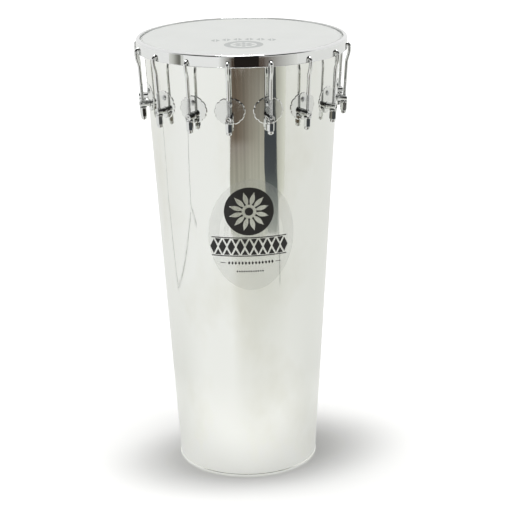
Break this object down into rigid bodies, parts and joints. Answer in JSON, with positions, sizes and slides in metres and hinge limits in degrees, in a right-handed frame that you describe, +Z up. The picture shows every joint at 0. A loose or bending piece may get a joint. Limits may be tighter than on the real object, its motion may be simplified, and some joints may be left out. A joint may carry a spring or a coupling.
{
  "type": "timbal drum",
  "caption": "Tall conical hand drum: polished metal shell open at the base, white film head under a hooked hoop, tension rods tuned by long nuts.",
  "frame": {"origin": "centre of the open base, on the surface that the drum stands on", "axes": "+Z up to the head, -Y the front with the oval film, +X to the right seen from the front"},
  "size_m": [0.3916, 0.3916, 0.808],
  "materials": {
    "polished_aluminium": "mirror polished sheet",
    "channel_aluminium": "mill finish",
    "polished_plate": "chromed pressed steel",
    "bright_chrome": "chromed steel",
    "zinc_steel": "bright zinc plated",
    "white_film": "milky polyester film",
    "clear_film": "clear printed film"
  },
  "bodies": {
    "drum": {"shell": "polished_aluminium", "shell_decal": "clear_film", "lug_plates": "polished_plate", "lug_posts": "bright_chrome", "post_screws": "zinc_steel", "post_washers": "zinc_steel", "dome_bolts": "bright_chrome", "bolt_washers": "zinc_steel", "bolt_nuts": "zinc_steel", "rod_washers": "bright_chrome"},
    "hoop": {"counter_hoop": "bright_chrome", "flesh_hoop": "channel_aluminium", "drumhead": "white_film"},
    "rod_01": {"tension_rod_01": "bright_chrome"},
    "rod_02": {"tension_rod_02": "bright_chrome"},
    "rod_03": {"tension_rod_03": "bright_chrome"},
    "rod_04": {"tension_rod_04": "bright_chrome"},
    "rod_05": {"tension_rod_05": "bright_chrome"},
    "rod_06": {"tension_rod_06": "bright_chrome"},
    "rod_07": {"tension_rod_07": "bright_chrome"},
    "rod_08": {"tension_rod_08": "bright_chrome"},
    "rod_09": {"tension_rod_09": "bright_chrome"},
    "rod_10": {"tension_rod_10": "bright_chrome"},
    "rod_11": {"tension_rod_11": "bright_chrome"},
    "rod_12": {"tension_rod_12": "bright_chrome"},
    "rod_13": {"tension_rod_13": "bright_chrome"},
    "rod_14": {"tension_rod_14": "bright_chrome"},
    "rod_15": {"tension_rod_15": "bright_chrome"},
    "rod_16": {"tension_rod_16": "bright_chrome"},
    "nut_01": {"tuning_nut_01": "bright_chrome"},
    "nut_02": {"tuning_nut_02": "bright_chrome"},
    "nut_03": {"tuning_nut_03": "bright_chrome"},
    "nut_04": {"tuning_nut_04": "bright_chrome"},
    "nut_05": {"tuning_nut_05": "bright_chrome"},
    "nut_06": {"tuning_nut_06": "bright_chrome"},
    "nut_07": {"tuning_nut_07": "bright_chrome"},
    "nut_08": {"tuning_nut_08": "bright_chrome"},
    "nut_09": {"tuning_nut_09": "bright_chrome"},
    "nut_10": {"tuning_nut_10": "bright_chrome"},
    "nut_11": {"tuning_nut_11": "bright_chrome"},
    "nut_12": {"tuning_nut_12": "bright_chrome"},
    "nut_13": {"tuning_nut_13": "bright_chrome"},
    "nut_14": {"tuning_nut_14": "bright_chrome"},
    "nut_15": {"tuning_nut_15": "bright_chrome"},
    "nut_16": {"tuning_nut_16": "bright_chrome"}
  },
  "joints": [
    {"name": "hoop_lift", "type": "slide", "parent": "drum", "child": "hoop", "axis": [0, 0, 1], "range_m": [0, 0.008]},
    {"name": "rod_01_slide", "type": "slide", "parent": "drum", "child": "rod_01", "axis": [0.0155, -0.0578, 0.9982], "range_m": [0, 0.00802]},
    {"name": "rod_02_slide", "type": "slide", "parent": "drum", "child": "rod_02", "axis": [0.0364, -0.0474, 0.9982], "range_m": [0, 0.00802]},
    {"name": "rod_03_slide", "type": "slide", "parent": "drum", "child": "rod_03", "axis": [0.0518, -0.0299, 0.9982], "range_m": [0, 0.00802]},
    {"name": "rod_04_slide", "type": "slide", "parent": "drum", "child": "rod_04", "axis": [0.0593, -0.0078, 0.9982], "range_m": [0, 0.00802]},
    {"name": "rod_05_slide", "type": "slide", "parent": "drum", "child": "rod_05", "axis": [0.0578, 0.0155, 0.9982], "range_m": [0, 0.00802]},
    {"name": "rod_06_slide", "type": "slide", "parent": "drum", "child": "rod_06", "axis": [0.0474, 0.0364, 0.9982], "range_m": [0, 0.00802]},
    {"name": "rod_07_slide", "type": "slide", "parent": "drum", "child": "rod_07", "axis": [0.0299, 0.0518, 0.9982], "range_m": [0, 0.00802]},
    {"name": "rod_08_slide", "type": "slide", "parent": "drum", "child": "rod_08", "axis": [0.0078, 0.0593, 0.9982], "range_m": [0, 0.00802]},
    {"name": "rod_09_slide", "type": "slide", "parent": "drum", "child": "rod_09", "axis": [-0.0155, 0.0578, 0.9982], "range_m": [0, 0.00802]},
    {"name": "rod_10_slide", "type": "slide", "parent": "drum", "child": "rod_10", "axis": [-0.0364, 0.0474, 0.9982], "range_m": [0, 0.00802]},
    {"name": "rod_11_slide", "type": "slide", "parent": "drum", "child": "rod_11", "axis": [-0.0518, 0.0299, 0.9982], "range_m": [0, 0.00802]},
    {"name": "rod_12_slide", "type": "slide", "parent": "drum", "child": "rod_12", "axis": [-0.0593, 0.0078, 0.9982], "range_m": [0, 0.00802]},
    {"name": "rod_13_slide", "type": "slide", "parent": "drum", "child": "rod_13", "axis": [-0.0578, -0.0155, 0.9982], "range_m": [0, 0.00802]},
    {"name": "rod_14_slide", "type": "slide", "parent": "drum", "child": "rod_14", "axis": [-0.0474, -0.0364, 0.9982], "range_m": [0, 0.00802]},
    {"name": "rod_15_slide", "type": "slide", "parent": "drum", "child": "rod_15", "axis": [-0.0299, -0.0518, 0.9982], "range_m": [0, 0.00802]},
    {"name": "rod_16_slide", "type": "slide", "parent": "drum", "child": "rod_16", "axis": [-0.0078, -0.0593, 0.9982], "range_m": [0, 0.00802]},
    {"name": "nut_01_turn", "type": "hinge", "parent": "drum", "child": "nut_01", "pos_m": [0.04785, -0.1786, 0.69566], "axis": [-0.0155, 0.0578, -0.9982], "range_deg": [0, 2272.92]},
    {"name": "nut_02_turn", "type": "hinge", "parent": "drum", "child": "nut_02", "pos_m": [0.11256, -0.14669, 0.69566], "axis": [-0.0364, 0.0474, -0.9982], "range_deg": [0, 2272.92]},
    {"name": "nut_03_turn", "type": "hinge", "parent": "drum", "child": "nut_03", "pos_m": [0.16012, -0.09245, 0.69566], "axis": [-0.0518, 0.0299, -0.9982], "range_deg": [0, 2272.92]},
    {"name": "nut_04_turn", "type": "hinge", "parent": "drum", "child": "nut_04", "pos_m": [0.18331, -0.02413, 0.69566], "axis": [-0.0593, 0.0078, -0.9982], "range_deg": [0, 2272.92]},
    {"name": "nut_05_turn", "type": "hinge", "parent": "drum", "child": "nut_05", "pos_m": [0.1786, 0.04785, 0.69566], "axis": [-0.0578, -0.0155, -0.9982], "range_deg": [0, 2272.92]},
    {"name": "nut_06_turn", "type": "hinge", "parent": "drum", "child": "nut_06", "pos_m": [0.14669, 0.11256, 0.69566], "axis": [-0.0474, -0.0364, -0.9982], "range_deg": [0, 2272.92]},
    {"name": "nut_07_turn", "type": "hinge", "parent": "drum", "child": "nut_07", "pos_m": [0.09245, 0.16012, 0.69566], "axis": [-0.0299, -0.0518, -0.9982], "range_deg": [0, 2272.92]},
    {"name": "nut_08_turn", "type": "hinge", "parent": "drum", "child": "nut_08", "pos_m": [0.02413, 0.18331, 0.69566], "axis": [-0.0078, -0.0593, -0.9982], "range_deg": [0, 2272.92]},
    {"name": "nut_09_turn", "type": "hinge", "parent": "drum", "child": "nut_09", "pos_m": [-0.04785, 0.1786, 0.69566], "axis": [0.0155, -0.0578, -0.9982], "range_deg": [0, 2272.92]},
    {"name": "nut_10_turn", "type": "hinge", "parent": "drum", "child": "nut_10", "pos_m": [-0.11256, 0.14669, 0.69566], "axis": [0.0364, -0.0474, -0.9982], "range_deg": [0, 2272.92]},
    {"name": "nut_11_turn", "type": "hinge", "parent": "drum", "child": "nut_11", "pos_m": [-0.16012, 0.09245, 0.69566], "axis": [0.0518, -0.0299, -0.9982], "range_deg": [0, 2272.92]},
    {"name": "nut_12_turn", "type": "hinge", "parent": "drum", "child": "nut_12", "pos_m": [-0.18331, 0.02413, 0.69566], "axis": [0.0593, -0.0078, -0.9982], "range_deg": [0, 2272.92]},
    {"name": "nut_13_turn", "type": "hinge", "parent": "drum", "child": "nut_13", "pos_m": [-0.1786, -0.04785, 0.69566], "axis": [0.0578, 0.0155, -0.9982], "range_deg": [0, 2272.92]},
    {"name": "nut_14_turn", "type": "hinge", "parent": "drum", "child": "nut_14", "pos_m": [-0.14669, -0.11256, 0.69566], "axis": [0.0474, 0.0364, -0.9982], "range_deg": [0, 2272.92]},
    {"name": "nut_15_turn", "type": "hinge", "parent": "drum", "child": "nut_15", "pos_m": [-0.09245, -0.16012, 0.69566], "axis": [0.0299, 0.0518, -0.9982], "range_deg": [0, 2272.92]},
    {"name": "nut_16_turn", "type": "hinge", "parent": "drum", "child": "nut_16", "pos_m": [-0.02413, -0.18331, 0.69566], "axis": [0.0078, 0.0593, -0.9982], "range_deg": [0, 2272.92]}
  ],
  "couplings": [
    {"joint": "rod_01_slide", "follows": "hoop_lift", "ratio": 1.0018},
    {"joint": "rod_02_slide", "follows": "hoop_lift", "ratio": 1.0018},
    {"joint": "rod_03_slide", "follows": "hoop_lift", "ratio": 1.0018},
    {"joint": "rod_04_slide", "follows": "hoop_lift", "ratio": 1.0018},
    {"joint": "rod_05_slide", "follows": "hoop_lift", "ratio": 1.0018},
    {"joint": "rod_06_slide", "follows": "hoop_lift", "ratio": 1.0018},
    {"joint": "rod_07_slide", "follows": "hoop_lift", "ratio": 1.0018},
    {"joint": "rod_08_slide", "follows": "hoop_lift", "ratio": 1.0018},
    {"joint": "rod_09_slide", "follows": "hoop_lift", "ratio": 1.0018},
    {"joint": "rod_10_slide", "follows": "hoop_lift", "ratio": 1.0018},
    {"joint": "rod_11_slide", "follows": "hoop_lift", "ratio": 1.0018},
    {"joint": "rod_12_slide", "follows": "hoop_lift", "ratio": 1.0018},
    {"joint": "rod_13_slide", "follows": "hoop_lift", "ratio": 1.0018},
    {"joint": "rod_14_slide", "follows": "hoop_lift", "ratio": 1.0018},
    {"joint": "rod_15_slide", "follows": "hoop_lift", "ratio": 1.0018},
    {"joint": "rod_16_slide", "follows": "hoop_lift", "ratio": 1.0018},
    {"joint": "nut_01_turn", "follows": "hoop_lift", "rad_per_m": 4956.3},
    {"joint": "nut_02_turn", "follows": "hoop_lift", "rad_per_m": 4956.3},
    {"joint": "nut_03_turn", "follows": "hoop_lift", "rad_per_m": 4956.3},
    {"joint": "nut_04_turn", "follows": "hoop_lift", "rad_per_m": 4956.3},
    {"joint": "nut_05_turn", "follows": "hoop_lift", "rad_per_m": 4956.3},
    {"joint": "nut_06_turn", "follows": "hoop_lift", "rad_per_m": 4956.3},
    {"joint": "nut_07_turn", "follows": "hoop_lift", "rad_per_m": 4956.3},
    {"joint": "nut_08_turn", "follows": "hoop_lift", "rad_per_m": 4956.3},
    {"joint": "nut_09_turn", "follows": "hoop_lift", "rad_per_m": 4956.3},
    {"joint": "nut_10_turn", "follows": "hoop_lift", "rad_per_m": 4956.3},
    {"joint": "nut_11_turn", "follows": "hoop_lift", "rad_per_m": 4956.3},
    {"joint": "nut_12_turn", "follows": "hoop_lift", "rad_per_m": 4956.3},
    {"joint": "nut_13_turn", "follows": "hoop_lift", "rad_per_m": 4956.3},
    {"joint": "nut_14_turn", "follows": "hoop_lift", "rad_per_m": 4956.3},
    {"joint": "nut_15_turn", "follows": "hoop_lift", "rad_per_m": 4956.3},
    {"joint": "nut_16_turn", "follows": "hoop_lift", "rad_per_m": 4956.3}
  ]
}
